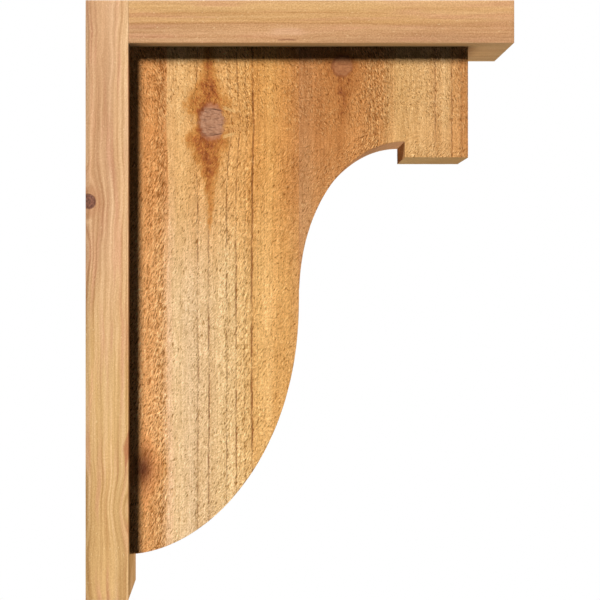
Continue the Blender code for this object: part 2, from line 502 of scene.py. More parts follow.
    size = uv_plan["size"]
    fu, fv = uv_plan["near"]
    bu, bv = uv_plan["far"]
    uv_near = np.stack([fu + (flat2[:, 0] - lo[0]), fv + (flat2[:, 1] - lo[1])], 1) / size
    uv_far = np.stack([bu + (hi[0] - flat2[:, 0]), bv + (flat2[:, 1] - lo[1])], 1) / size
    uv_list = [uv_near[near].reshape(-1, 2), uv_far[far - N].reshape(-1, 2)]
    name_arr = np.array(names)
    s0 = {}
    for i, n in enumerate(names):
        s0.setdefault(n, arc[i])
    su, sv, sc, sl = (np.array([uv_plan["strips"][n][j] for n in names]) for j in range(4))
    start = np.array([s0[n] for n in names])
    i, k = quad_at[:, 0], quad_at[:, 1]
    a0 = (arc[i] - start[i]) * sl[i]
    a1 = (arc[i] - start[i] + seg[i]) * sl[i]
    y0 = (ring_y[k] + half) * sc[i]
    y1 = (ring_y[k + 1] + half) * sc[i]
    quv = np.stack([np.stack([su[i] + y0, sv[i] + a0], 1), np.stack([su[i] + y1, sv[i] + a0], 1),
                    np.stack([su[i] + y1, sv[i] + a1], 1), np.stack([su[i] + y0, sv[i] + a1], 1)], 1) / size
    uv_list.append(quv.reshape(-1, 2))
    polys = near.tolist() + far.tolist() + quads.tolist()
    return finish_mesh(name, co, polys, np.vstack(uv_list), (u, T, spill), (e, flame, cap))


def finish_mesh(name, co, polys, uv, grain, knot):
    world = co * INCH
    world[:, 2] += TOP_Z
    me = bpy.data.meshes.new(name)
    me.from_pydata(world.tolist(), [], polys)
    layer = me.uv_layers.new(name="OFBake")
    layer.data.foreach_set("uv", uv.astype(np.float32).ravel())
    for attr, values in (("grain", grain), ("knot", knot)):
        a = me.attributes.new(attr, "FLOAT_VECTOR", "POINT")
        a.data.foreach_set("vector", np.stack(values, 1).astype(np.float32).ravel())
    me.update()
    me.shade_smooth()
    me.set_sharp_from_angle(angle=math.radians(50.0))
    obj = bpy.data.objects.new(name, me)
    bpy.context.collection.objects.link(obj)
    return obj


def board_mesh(name, lo, hi, pitch, ease_lo, ease_hi, fields, depth, long_axis, uv_plan):
    """Planed board: a closed box grid with eased edges, then its relief."""
    axes = []
    for k in range(3):
        n = max(2, int(round((hi[k] - lo[k]) / pitch[k])))
        inner = np.linspace(lo[k] + ease_lo[k], hi[k] - ease_hi[k], n)
        arc = (1 - np.cos(np.linspace(0, 0.5 * math.pi, 4)))[:3]
        axes.append(np.concatenate([lo[k] + ease_lo[k] * arc, inner, (hi[k] - ease_hi[k] * arc)[::-1]]))
    n = [len(a) for a in axes]
    ids = -np.ones(n, int)
    coords, polys, uvs, faces_at = [], [], [], []
    grid = np.stack(np.meshgrid(*axes, indexing="ij"), -1)
    shell = np.zeros(n, bool)
    shell[0], shell[-1], shell[:, 0], shell[:, -1], shell[:, :, 0], shell[:, :, -1] = (True,) * 6
    ids[shell] = np.arange(shell.sum())
    p = grid[shell]
    ease_lo, ease_hi = np.array(ease_lo), np.array(ease_hi)
    core = np.clip(p, np.array(lo) + ease_lo, np.array(hi) - ease_hi)
    ease = np.where(p < core, ease_lo, ease_hi)
    off = (p - core) / ease
    off = off / np.linalg.norm(off, axis=1)[:, None]
    p = core + off * ease
    out = off / ease
    out = out / np.linalg.norm(out, axis=1)[:, None]
    X, Y, T = p[:, 0], p[:, 1], p[:, 2]
    u, e, flame, cap, spill = fields(X, Y, T)
    L = p[:, long_axis]
    A = p[:, 0] if long_axis == 2 else p[:, 2]
    d = depth(u, A, Y, L, e) / 25.4
    p = p - out * d[:, None]
    quads, quv = [], []
    for axis in range(3):
        for side in (0, 1):
            sl = [slice(None)] * 3
            sl[axis] = -1 if side else 0
            face = ids[tuple(sl)]
            a, b, c, dd = face[:-1, :-1], face[1:, :-1], face[1:, 1:], face[:-1, 1:]
            q = np.stack([a, b, c, dd], -1).reshape(-1, 4)
            o = [k for k in range(3) if k != axis]
            g = grid[tuple(sl)][..., o]
            flip = (side == 1) == (axis == 1)
            if flip:
                q = q[:, ::-1]
            plan = uv_plan[(axis, side)]
            m = np.stack([plan[0] + (g[..., plan[4]] - lo[o[plan[4]]]) * plan[2],
                          plan[1] + (g[..., 1 - plan[4]] - lo[o[1 - plan[4]]]) * plan[3]], -1)
            ma, mb, mc, md = m[:-1, :-1], m[1:, :-1], m[1:, 1:], m[:-1, 1:]
            mq = np.stack([ma, mb, mc, md], -2).reshape(-1, 4, 2)
            if flip:
                mq = mq[:, ::-1]
            quads.append(q)
            quv.append(mq.reshape(-1, 2))
    polys = np.vstack(quads).tolist()
    return finish_mesh(name, p, polys, np.vstack(quv), (u, L, spill), (e, flame, cap))


# ---------------------------------------------------------------- materials

def srgb(r, g, b):
    return tuple(((c / 255 + 0.055) / 1.055) ** 2.4 if c > 10 else c / 255 / 12.92
                 for c in (r, g, b)) + (1.0,)


class Tree:
    """Short names for the nodes that a wood material is made of."""

    def __init__(self, name):
        self.mat = bpy.data.materials.new(name)
        self.mat.use_nodes = True
        self.t = self.mat.node_tree
        self.t.nodes.clear()
        self.out = self.t.nodes.new("ShaderNodeOutputMaterial")
        self.bsdf = self.t.nodes.new("ShaderNodeBsdfPrincipled")
        self.t.links.new(self.bsdf.outputs[0], self.out.inputs[0])

    def put(self, socket, value):
        if isinstance(value, bpy.types.NodeSocket):
            self.t.links.new(value, socket)
        elif value is not None:
            socket.default_value = value

    def math(self, op, a, b=None, c=None, clamp=False):
        n = self.t.nodes.new("ShaderNodeMath")
        n.operation = op
        n.use_clamp = clamp
        for i, v in enumerate((a, b, c)):
            self.put(n.inputs[i], v)
        return n.outputs[0]

    def add(self, a, b):
        return self.math("ADD", a, b)

    def mul(self, a, b):
        return self.math("MULTIPLY", a, b)

    def vmath(self, op, a, b):
        n = self.t.nodes.new("ShaderNodeVectorMath")
        n.operation = op
        self.put(n.inputs[0], a)
        self.put(n.inputs[1], b)
        return n.outputs[0]

    def split(self, v):
        n = self.t.nodes.new("ShaderNodeSeparateXYZ")
        self.put(n.inputs[0], v)
        return n.outputs

    def join(self, x, y, z):
        n = self.t.nodes.new("ShaderNodeCombineXYZ")
        for i, v in enumerate((x, y, z)):
            self.put(n.inputs[i], v)
        return n.outputs[0]

    def attr(self, name):
        n = self.t.nodes.new("ShaderNodeAttribute")
        n.attribute_name = name
        return n.outputs["Vector"]

    def coords(self):
        return self.t.nodes.new("ShaderNodeTexCoord").outputs["Object"]

    def normal_axis(self, axis):
        n = self.t.nodes.new("ShaderNodeNewGeometry")
        return self.math("ABSOLUTE", self.split(n.outputs["True Normal"])[axis])

    def facing_down(self):
        n = self.t.nodes.new("ShaderNodeNewGeometry")
        return self.mul(self.split(n.outputs["True Normal"])[2], -1.0)

    def noise(self, vec, scale, detail=2.0, rough=0.5, twist=0.0):
        n = self.t.nodes.new("ShaderNodeTexNoise")
        self.put(n.inputs["Vector"], vec)
        n.inputs["Scale"].default_value = scale
        n.inputs["Detail"].default_value = detail
        n.inputs["Roughness"].default_value = rough
        n.inputs["Distortion"].default_value = twist
        return n.outputs[0]

    def dot(self, a, b):
        n = self.t.nodes.new("ShaderNodeVectorMath")
        n.operation = "DOT_PRODUCT"
        self.put(n.inputs[0], a)
        self.put(n.inputs[1], b)
        return n.outputs["Value"]

    def strokes(self, p, degrees, along, across, detail=2.0, rough=0.6, twist=0.3):
        """Noise drawn out along a slanting direction of the upright faces; p is in
        millimetres, degrees is the slope of the strokes, up to the right."""
        c, s = math.cos(math.radians(degrees)), math.sin(math.radians(degrees))
        return self.noise(self.join(self.dot(p, (c * along, 0.0, s * along)),
                                    self.dot(p, (-s * across, 0.0, c * across)),
                                    self.dot(p, (0.0, across, 0.0))), 1.0, detail, rough, twist)

    def band(self, x, lo, hi, a=0.0, b=1.0, kind="SMOOTHSTEP"):
        n = self.t.nodes.new("ShaderNodeMapRange")
        n.interpolation_type = kind
        self.put(n.inputs["Value"], x)
        n.inputs["From Min"].default_value = lo
        n.inputs["From Max"].default_value = hi
        n.inputs["To Min"].default_value = a
        n.inputs["To Max"].default_value = b
        return n.outputs[0]

    def mix(self, fac, a, b, how="MIX"):
        n = self.t.nodes.new("ShaderNodeMix")
        n.data_type = "RGBA"
        n.blend_type = how
        n.clamp_factor = True
        self.put(n.inputs["Factor"], fac)
        self.put(n.inputs[6], a)
        self.put(n.inputs[7], b)
        return n.outputs[2]

    def ramp(self, fac, stops, how="LINEAR"):
        n = self.t.nodes.new("ShaderNodeValToRGB")
        n.color_ramp.interpolation = how
        self.put(n.inputs[0], fac)
        els = n.color_ramp.elements
        while len(els) > 1:
            els.remove(els[-1])
        for i, (at, col) in enumerate(stops):
            el = els[0] if i == 0 else els.new(at)
            el.position = at
            el.color = col if isinstance(col, tuple) else (col, col, col, 1.0)
        return n.outputs[0]

    def shade(self, colour, factor):
        """Multiplies a colour by a grey factor."""
        n = self.t.nodes.new("ShaderNodeVectorMath")
        n.operation = "SCALE"
        self.put(n.inputs[0], colour)
        self.put(n.inputs["Scale"], factor)
        return n.outputs[0]

    def swing(self, colour, field, amount):
        """Paler where the field is over 0, darker and warmer where it is under."""
        tone = self.join(*(self.math("MULTIPLY_ADD", field, amount * w, 1.0) for w in (0.75, 1.0, 1.4)))
        return self.vmath("MULTIPLY", colour, tone)

    def bump(self, height, strength, distance, normal=None):
        n = self.t.nodes.new("ShaderNodeBump")
        n.inputs["Strength"].default_value = strength
        n.inputs["Distance"].default_value = distance
        self.put(n.inputs["Height"], height)
        if normal is not None:
            self.put(n.inputs["Normal"], normal)
        return n.outputs[0]


def spread(stops, lo, hi):
    return [((at - lo) / (hi - lo), col) for at, col in stops]


def line_stops(lines, lo, hi):
    """A ramp that is 0 but for narrow peaks, one for each dark growth line."""
    stops = [(0.0, 0.0)]
    for centre, half, strength in lines:
        for at, s in ((centre - half, 0.0), (centre, strength), (centre + half, 0.0)):
            stops.append(((at - lo) / (hi - lo), s))
    return stops


def sawn_material(name, lo, hi, upper, lower, fade, lines, line_col, torn, flame_col,
                  knot_col, rim_at, vigour=1.0, fine=1.0, tab_at=None):
    """Rough-sawn cedar: bands and lines across the grain, slanting saw tears,
    torn specks, branches with a flame, darker end grain."""
    t = Tree(name)
    grain = t.split(t.attr("grain"))
    knot = t.split(t.attr("knot"))
    u, run, spill = grain[0], grain[1], grain[2]
    e, flame, cap = knot[0], knot[1], knot[2]
    p = t.vmath("MULTIPLY", t.coords(), (1000.0, 1000.0, 1000.0))  # millimetres
    x, y, z = t.split(p)
    un = t.band(u, lo, hi, 0.0, 1.0, "LINEAR")

    # broad colour bands, warped a little, and changing down the board
    soft = t.noise(t.join(t.mul(u, 0.9), t.mul(run, 0.10), t.mul(y, 0.01)), 1.0, 2.0, 0.5)
    wobble = t.add(un, t.mul(t.math("SUBTRACT", soft, 0.5), 0.035))
    top = t.ramp(wobble, spread(upper, lo, hi), "EASE")
    low = t.ramp(wobble, spread(lower, lo, hi), "EASE")
    depth = t.add(run, t.mul(t.math("SUBTRACT", soft, 0.5), 4.0))
    col = t.mix(t.band(depth, fade[0], fade[1], 0.0, 1.0), top, low)

    # how torn the face is, from band to band
    rough = t.ramp(un, spread(torn, lo, hi), "EASE")
    harsh = t.band(rough, 0.0, 1.0, 0.62 * vigour, 1.55 * vigour, "LINEAR")
    beside = t.band(un, (3.7 - lo) / (hi - lo), (3.1 - lo) / (hi - lo), 0.0, 1.0)
    coarse = t.mul(t.band(un, (3.80 - lo) / (hi - lo), (3.60 - lo) / (hi - lo), 0.0, 1.0),
                   t.band(run, -11.0, -15.0, 0.0, 1.0))
    harsh = t.mul(harsh, t.math("MULTIPLY_ADD", coarse, 0.15, 1.0))

    # growth lines, from wide to fine
    thin = t.noise(t.join(t.mul(u, 7.0), t.mul(run, 0.10), 0.0), 1.0, 3.0, 0.75)
    thin = t.band(thin, 0.35, 0.65, -1.0, 1.0, "LINEAR")
    col = t.vmath("MULTIPLY", t.swing(col, thin, 0.10), (1.165, 1.13, 1.07))
    layer = t.noise(t.join(t.mul(u, 2.6), t.mul(run, 0.05), 4.0), 1.0, 2.0, 0.6)
    col = t.swing(col, t.band(layer, 0.36, 0.64, -1.0, 1.0, "LINEAR"), 0.06)
    fibre = t.noise(t.join(t.mul(u, 22.0), t.mul(run, 1.3), t.mul(y, 0.05)), 1.0, 3.0, 0.7)
    fibre = t.band(fibre, 0.35, 0.65, -1.0, 1.0, "LINEAR")
    col = t.swing(col, t.mul(fibre, t.band(rough, 0.1, 0.5, 1.35, 0.90, "LINEAR")), 0.13)
    cloud = t.noise(t.vmath("MULTIPLY", p, (0.050, 0.050, 0.026)), 1.0, 3.0, 0.6)
    col = t.swing(col, t.band(cloud, 0.34, 0.66, -1.0, 1.0, "LINEAR"), 0.045)

    # faint level marks of the saw blade, in patches
    kerf = t.noise(t.join(t.mul(x, 0.035), t.mul(y, 0.05), t.mul(z, 0.62)), 1.0, 2.0, 0.6)
    kerf = t.mul(t.band(kerf, 0.36, 0.64, -1.0, 1.0, "LINEAR"), t.band(cloud, 0.50, 0.62, 0.0, 1.0))
    col = t.swing(col, kerf, 0.10)

    # slanting tears: one lean above, the other below, steeper where the face is
    # torn, over a fine fuzz
    lean = t.band(t.add(run, t.mul(t.math("SUBTRACT", soft, 0.5), 3.0)), -7.2, -5.0, 0.0, 1.0)
    calm = t.mix(lean, t.strokes(p, 43.0, 0.26, 0.70 * fine, 2.0, 0.60),
                 t.strokes(p, -47.0, 0.26, 0.70 * fine, 2.0, 0.60))
    wild = t.mix(lean, t.strokes(p, 66.0, 0.20, 0.62 * fine, 2.0, 0.60, 0.6),
                 t.strokes(p, -66.0, 0.20, 0.62 * fine, 2.0, 0.60, 0.6))
    tear = t.mix(t.band(rough, 0.25, 0.75, 0.0, 1.0), calm, wild)
    tear = t.band(tear, 0.38, 0.62, -1.0, 1.0, "LINEAR")
    tear_r = t.mul(tear, harsh)
    fuzz = t.noise(t.vmath("MULTIPLY", p, (0.92 * fine, 0.92, 0.74)), 1.0, 2.0, 0.7)
    fuzz = t.band(fuzz, 0.37, 0.63, -1.0, 1.0, "LINEAR")
    fuzz_r = t.mul(fuzz, t.band(rough, 0.0, 1.0, 0.70, 1.30, "LINEAR"))

    # torn-out fibre ends, dark, and bright broken ones: partly their own colour, partly painted shade in the pits and
    # painted highlight on the broken ends
    sp = t.mix(lean, t.strokes(p, 68.0, 0.21, 0.74 * fine, 1.0, 0.5, 0.5),
               t.strokes(p, -70.0, 0.21, 0.74 * fine, 1.0, 0.5, 0.5))
    plucked = t.math("MULTIPLY_ADD", coarse, 0.08, rough)
    plucked = t.mul(plucked, plucked)
    want = t.math("MULTIPLY_ADD", plucked, 0.17 * vigour, sp)
    lack = t.math("MULTIPLY_ADD", plucked, -0.14 * vigour, sp)
    bright = t.band(want, 0.61, 0.71, 0.0, 1.0)
    dark = t.band(lack, 0.37, 0.27, 0.0, 1.0)

    # dark latewood lines, torn along their edges and broken along their length
    jog = t.noise(t.join(t.mul(u, 0.7), t.mul(run, 1.7), 5.0), 1.0, 3.0, 0.6)
    lined = t.add(un, t.mul(t.math("SUBTRACT", jog, 0.5), 0.10 / (hi - lo)))
    lined = t.add(lined, t.mul(tear, 0.016 / (hi - lo)))
    mask = t.ramp(lined, line_stops(lines, lo, hi))
    dash = t.noise(t.join(t.mul(u, 3.0), t.mul(run, 0.55), 3.0), 1.0, 4.0, 0.7)
    mask = t.band(t.mul(mask, t.band(dash, 0.38, 0.58, 0.34, 1.0, "LINEAR")), 0.05, 0.60, 0.0, 1.0)

    # the tears and fuzz shift the colour: partly the torn fibres' own tone, partly painted shade and painted highlight
    # of their relief
    col = t.swing(col, tear_r, 0.185)
    col = t.swing(col, fuzz_r, 0.21)
    col = t.mix(t.mul(mask, 0.80), col, line_col)

    # flame round the branches, mottled; the blot beside the leg has no hard edge
    mottle = t.noise(t.vmath("MULTIPLY", p, (0.12, 0.12, 0.09)), 1.0, 3.0, 0.6)
    blotch = t.noise(t.vmath("MULTIPLY", p, (0.24, 0.24, 0.20)), 1.0, 2.0, 0.6)
    fl = t.add(flame, t.math("MULTIPLY_ADD", mottle, 2.2, -1.1))
    fl = t.add(fl, t.math("MULTIPLY_ADD", tear, 0.40, t.math("MULTIPLY_ADD", blotch, 1.4, -0.70)))
    ember = t.ramp(t.band(fl, -0.45, 2.1, 0.0, 1.0, "LINEAR"),
                   [(0.0, flame_col[0]), (0.30, flame_col[0]), (0.46, flame_col[1]), (0.62, flame_col[2]),
                    (0.80, flame_col[3]), (1.0, flame_col[4])])
    col = t.swing(col, t.mul(beside, t.band(run, -22.3, -24.6, 0.0, 1.0)), -0.15)
    ember = t.mix(beside, ember, t.mix(t.band(flame, 0.2, 2.3, 0.0, 1.0, "LINEAR"), srgb(228, 146, 82), srgb(104, 44, 18)))
    ember = t.swing(t.swing(t.swing(ember, tear, 0.22), fuzz, 0.14), fibre, 0.12)
    glow = t.math("MULTIPLY", t.band(fl, -0.80, 0.25, 0.0, 0.95), t.band(flame, -0.98, -0.45, 0.0, 1.0), None, True)
    haze = t.band(t.add(flame, t.math("MULTIPLY_ADD", mottle, 0.8, -0.4)), -0.9, 1.9, 0.0, 0.92)
    col = t.mix(t.math("ADD", t.mul(glow, t.math("SUBTRACT", 1.0, beside)), t.mul(haze, beside)), col, ember)

    # fibres that spill sideways from the branch, and two pale stubs above and below
    comb = t.noise(t.vmath("MULTIPLY", p, (0.05, 0.3, 0.40)), 1.0, 3.0, 0.6)
    comb = t.band(comb, 0.36, 0.64, 0.0, 1.0, "LINEAR")
    col = t.mix(t.mul(spill, t.band(comb, 0.2, 0.8, 0.7, 1.0)), col,
                t.swing(t.mix(comb, srgb(190, 118, 52), srgb(226, 164, 92)), fuzz, 0.14))
    stub = t.mul(t.band(x, rim_at + 18.0, rim_at + 24.0, 0.0, 1.0), t.band(x, rim_at + 40.0, rim_at + 28.0, 0.0, 0.60))
    stub = t.mul(stub, t.band(t.math("ABSOLUTE", t.math("SUBTRACT", t.math("ABSOLUTE", cap), 1.34)), 0.24, 0.10, 0.0, 1.0))
    col = t.mix(stub, col, srgb(240, 194, 128))

    # torn specks over it all, few of them on the branch and its flame; their dark is partly painted shade, their pale
    # partly painted highlight
    whole = t.band(e, 0.95, 1.15, 0.15, 1.0)
    dark = t.mul(dark, whole)
    col = t.mix(t.mul(dark, 0.22), t.swing(col, dark, -0.50), srgb(134, 72, 24))
    whole = t.mul(whole, t.math("SUBTRACT", 1.0, t.mul(t.math("MAXIMUM", glow, spill), 0.70)))
    bright = t.mul(bright, whole)
    col = t.mix(t.mul(bright, 0.22), t.swing(col, bright, 0.42), srgb(255, 222, 156))

    # the branch itself: wavy end fibres, smooth caps past two dark checks
    warp = t.noise(t.vmath("MULTIPLY", p, (0.16, 0.16, 0.22)), 1.0, 2.0, 0.6)
    grit = t.noise(t.join(t.mul(x, 0.09), t.mul(y, 0.05), t.math("MULTIPLY_ADD", warp, 2.6, t.mul(z, 0.50))), 1.0, 2.0, 0.6)
    scale = t.noise(t.vmath("MULTIPLY", p, (0.30, 0.30, 0.42)), 1.0, 3.0, 0.65)
    scale = t.band(scale, 0.36, 0.64, 0.0, 1.0, "LINEAR")
    body = t.mix(scale, knot_col[0], knot_col[1])
    squiggle = t.band(grit, 0.46, 0.36, 0.0, 1.0)
    capped = t.band(t.math("ABSOLUTE", cap), 0.90, 1.25, 0.0, 1.0)
    squiggle = t.mul(squiggle, t.math("MULTIPLY_ADD", capped, -0.85, 1.0))
    body = t.mix(capped, body, t.mix(scale, knot_col[3], knot_col[4]))
    body = t.shade(body, t.math("MULTIPLY_ADD", t.math("SINE", t.mul(e, 21.0)), 0.03, 1.0))
    body = t.mix(t.mul(squiggle, 0.52), body, knot_col[2])
    edge = t.add(e, t.mul(t.math("SUBTRACT", blotch, 0.5), 0.5))
    inside = t.band(edge, 1.12, 0.84, 0.0, 1.0)
    rim = t.band(t.math("ABSOLUTE", t.math("SUBTRACT", edge, 1.02)), 0.22, 0.03, 0.0, 1.0)
    # the dark rim is the branch's own; its extra weight on the left side is painted shade
    rim = t.mul(rim, t.mul(t.band(x, rim_at - 4.0, rim_at + 14.0, 1.0, 0.45), t.math("MULTIPLY_ADD", capped, -0.6, 1.0)))
    check = t.band(t.math("ABSOLUTE", t.math("SUBTRACT", t.math("ABSOLUTE", cap), 1.0)), 0.075, 0.015, 0.0, 1.0)
    check = t.mul(t.mul(check, inside), t.band(x, rim_at - 3.0, rim_at + 10.0, 0.15, 0.85))
    col = t.mix(inside, col, body)
    col = t.mix(t.mul(rim, 0.62), col, knot_col[5])
    col = t.mix(t.mul(check, 0.9), col, srgb(92, 54, 38))
    rim = t.math("MAXIMUM", t.mul(rim, 0.3), check)

    # end grain: deeper, with its rings and open cells
    end = t.band(t.normal_axis(2), 0.35, 0.9, 0.0, 1.0)
    cut = t.math("MAXIMUM", t.normal_axis(2), t.normal_axis(0))
    cells = t.noise(t.vmath("MULTIPLY", p, (1.3, 1.3, 1.3)), 1.0, 2.0, 0.6)
    rings = t.noise(t.join(t.mul(u, 15.0), 0.0, 0.0), 1.0, 1.0, 0.6)
    endcol = t.shade(t.mix(0.35, col, srgb(176, 122, 78)), t.band(rings, 0.3, 0.7, 0.66, 0.92, "LINEAR"))
    endcol = t.shade(endcol, t.band(cells, 0.3, 0.7, 0.90, 1.06, "LINEAR"))
    if tab_at is not None:  # pinkish under the curve, and olive under the tab as a painted fill-light tint
        past = t.band(x, tab_at * 25.4 - 1.5, tab_at * 25.4 + 1.5, 0.0, 1.0)
        endcol = t.mix(t.math("MULTIPLY_ADD", past, 0.20, 0.25), endcol,
                       t.mix(past, srgb(206, 146, 112), srgb(178, 150, 92)))
    col = t.mix(end, col, endcol)
    if tab_at is not None:  # the short riser of the step: painted shade, darker where the notch keeps the light off it
        off = t.math("ABSOLUTE", t.math("SUBTRACT", x, tab_at * 25.4))
        col = t.shade(col, t.math("MULTIPLY_ADD", t.mul(t.band(t.normal_axis(0), 0.8, 0.95, 0.0, 1.0), t.band(off, 3.0, 1.0, 0.0, 1.0)), -0.45, 1.0))

    # relief in millimetres: the tears belong to the sawn faces
    face = t.band(cut, 0.55, 0.25, 0.18, 1.0)
    quiet = t.math("MULTIPLY_ADD", inside, -0.6, 1.0)
    height = t.mul(tear_r, 0.26)
    height = t.add(height, t.mul(fuzz_r, 0.14))
    height = t.add(height, t.mul(bright, 0.44))
    height = t.math("SUBTRACT", height, t.mul(dark, 0.42))
    height = t.math("SUBTRACT", height, t.mul(mask, 0.36))
    height = t.add(height, t.mul(fibre, 0.07))
    height = t.mul(height, t.mul(face, quiet))
    height = t.add(height, t.mul(cells, t.mul(end, 0.10)))
    height = t.math("SUBTRACT", height, t.mul(squiggle, t.mul(inside, 0.16)))
    height = t.math("SUBTRACT", height, t.mul(rim, 0.30))
    normal = t.bump(height, 1.0, 0.001)

    t.put(t.bsdf.inputs["Base Color"], col)
    t.put(t.bsdf.inputs["Roughness"], t.band(tear, -1.0, 1.0, 0.86, 0.72, "LINEAR"))
    t.put(t.bsdf.inputs["Normal"], normal)
    t.bsdf.inputs["Specular IOR Level"].default_value = 0.22
    return t.mat


def planed_material(name, long_axis, lo, hi, near, away, fade, pink, knot_col, streaks, sandy,
                    edge=None, scar=None):
    """Planed cedar: streaks of soft ring lines that swing along the board, a fine
    sandy fleck, tight dark branches, darker end grain, a low sheen. The bands go
    from the colours near to the colours away as the run passes fade."""
    t = Tree(name)
    grain = t.split(t.attr("grain"))
    knot = t.split(t.attr("knot"))
    u, run = grain[0], grain[1]
    e = knot[0]
    p = t.vmath("MULTIPLY", t.coords(), (1000.0, 1000.0, 1000.0))
    un = t.band(u, lo, hi, 0.0, 1.0, "LINEAR")

    soft = t.noise(t.join(t.mul(u, 0.8), t.mul(run, 0.07), 0.0), 1.0, 2.0, 0.5)
    wobble = t.add(un, t.mul(t.math("SUBTRACT", soft, 0.5), 0.05))
    turn = t.band(t.math("MULTIPLY_ADD", soft, 5.0, run), fade[0] + 2.5, fade[1] + 2.5, 0.0, 1.0)
    col = t.mix(turn, t.ramp(wobble, spread(near, lo, hi), "EASE"),
                t.ramp(wobble, spread(away, lo, hi), "EASE"))

    # pink streaks that come and go along the board
    drift = t.noise(t.join(t.mul(u, 3.2), t.mul(run, 0.22), 7.0), 1.0, 2.0, 0.5)
    col = t.mix(t.band(drift, 0.48, 0.70, 0.0, pink[1]), col, pink[0])

    # growth rings: uneven streaks, with narrow darker latewood among them
    wide = t.noise(t.join(t.mul(u, streaks[0]), t.mul(run, 0.10), 0.0), 1.0, 2.0, 0.55)
    ring = t.noise(t.join(t.mul(u, streaks[1]), t.mul(run, 0.09), 2.0), 1.0, 1.0, 0.5)
    thin = t.noise(t.join(t.mul(u, 2.1 * streaks[1]), t.mul(run, 0.16), 9.0), 1.0, 1.0, 0.6)
    vary = t.noise(t.join(t.mul(u, 1.5), t.mul(run, 0.25), 4.0), 1.0, 2.0, 0.5)
    vary = t.band(vary, 0.36, 0.60, 0.45, 1.0, "LINEAR")
    pale = t.mul(t.band(ring, 0.51, 0.66, 0.0, 1.0, "LINEAR"), vary)
    late = t.mul(t.band(ring, 0.50, 0.34, 0.0, 1.0, "LINEAR"), vary)
    col = t.shade(col, t.band(wide, 0.34, 0.66, 0.94, 1.05, "LINEAR"))
    col = t.mix(t.mul(late, streaks[2]), col, (0.74, 0.64, 0.54, 1.0), "MULTIPLY")
    col = t.mix(t.mul(pale, streaks[3]), col, srgb(244, 202, 154))
    col = t.mix(t.band(thin, 0.50, 0.34, 0.0, streaks[4], "LINEAR"), col, (0.78, 0.69, 0.60, 1.0), "MULTIPLY")

    # short fibres, a sandy fleck, and a few bright and dark ones
    fibre = t.noise(t.join(t.mul(u, 11.0), t.mul(run, 0.9), 0.0), 1.0, 3.0, 0.7)
    fibre = t.band(fibre, 0.34, 0.66, -1.0, 1.0, "LINEAR")
    col = t.swing(col, fibre, 0.06)
    stretch = (0.60, 0.60, 0.50) if long_axis == 2 else (0.50, 0.60, 0.60)
    sand = t.noise(t.vmath("MULTIPLY", p, stretch), 1.0, 2.0, 0.7)
    sand = t.band(sand, 0.36, 0.64, -1.0, 1.0, "LINEAR")
    col = t.swing(col, sand, sandy)
    scale = (0.50, 0.50, 0.24) if long_axis == 2 else (0.24, 0.50, 0.50)
    fl = t.noise(t.vmath("MULTIPLY", p, scale), 1.0, 1.0, 0.5)
    col = t.mix(t.band(fl, 0.66, 0.80, 0.0, 0.5), col, srgb(254, 224, 174))
    col = t.mix(t.band(fl, 0.30, 0.17, 0.0, 0.40), col, srgb(164, 108, 64))

    # reddened streaks where the grain runs round a branch just off the board
    stain = t.math("ADD", knot[1], t.math("MULTIPLY_ADD", sand, 0.22, t.mul(fibre, 0.18)))
    col = t.mix(t.band(stain, 0.0, 1.1, 0.0, 0.80), col, srgb(178, 108, 70))

    # branch, with rusty streaks beside it
    year = t.math("SINE", t.mul(e, 15.0))
    grit = t.noise(t.vmath("MULTIPLY", p, (0.5, 0.5, 0.5)), 1.0, 3.0, 0.6)
    body = t.shade(t.mix(t.band(grit, 0.35, 0.65, 0.0, 1.0), knot_col[0], knot_col[1]), t.math("MULTIPLY_ADD", year, 0.20, 1.0))
    rust = t.band(t.math("MULTIPLY_ADD", grit, 1.2, e), 3.4, 1.4, 0.0, 0.70)
    col = t.mix(t.mul(rust, t.math("MULTIPLY_ADD", fibre, 0.32, 0.62)), col, srgb(184, 118, 78))
    col = t.mix(t.band(e, 1.14, 0.88, 0.0, 1.0), col, body)
    rim = t.band(t.math("ABSOLUTE", t.math("SUBTRACT", e, 0.98)), 0.16, 0.03, 0.0, 1.0)
    col = t.mix(t.mul(rim, 0.55), col, srgb(92, 52, 36))

    # painted shade along the edge that edge names, and an underside painted darker and olive as painted shade and
    # fill-light tint
    if edge is not None:
        col = t.shade(col, t.band(t.split(p)[edge[0]], edge[1], edge[2], edge[3], 1.0))
    # painted shade and painted fill-light tint: faces that look down are mixed toward a dark olive; the streaks over
    # them are their own grain
    down = t.band(t.facing_down(), 0.5, 0.9, 0.0, 1.0)
    col = t.mix(t.mul(down, 0.55), col, srgb(168, 139, 85))
    px, py, pz = t.split(p)
    under = t.noise(t.join(t.mul(py, 0.085), t.mul(run, 0.10), 3.0), 1.0, 2.0, 0.6)
    col = t.swing(col, t.mul(down, t.band(under, 0.36, 0.64, -1.0, 1.0, "LINEAR")), 0.16)

    # a short pitch streak in the near face, with a paler patch over it
    if scar is not None:
        off_x = t.math("ABSOLUTE", t.math("SUBTRACT", px, scar[0]))
        off_z = t.math("SUBTRACT", t.math("MULTIPLY_ADD", off_x, 0.06, pz), scar[1])
        front = t.band(py, -60.0, -66.0, 0.0, 1.0)
        patch = t.band(t.math("ABSOLUTE", t.math("SUBTRACT", off_z, 10.0)), 6.0, 2.0, 0.0, 0.42)
        col = t.mix(t.mul(front, t.mul(patch, t.band(off_x, 27.0, 10.0, 0.0, 1.0))), col, srgb(226, 176, 140))
        mark = t.mul(t.band(t.math("ABSOLUTE", off_z), 1.5, 0.4, 0.0, 0.62), t.band(off_x, 13.0, 7.0, 0.0, 1.0))
        col = t.mix(t.mul(front, mark), col, srgb(136, 82, 50))

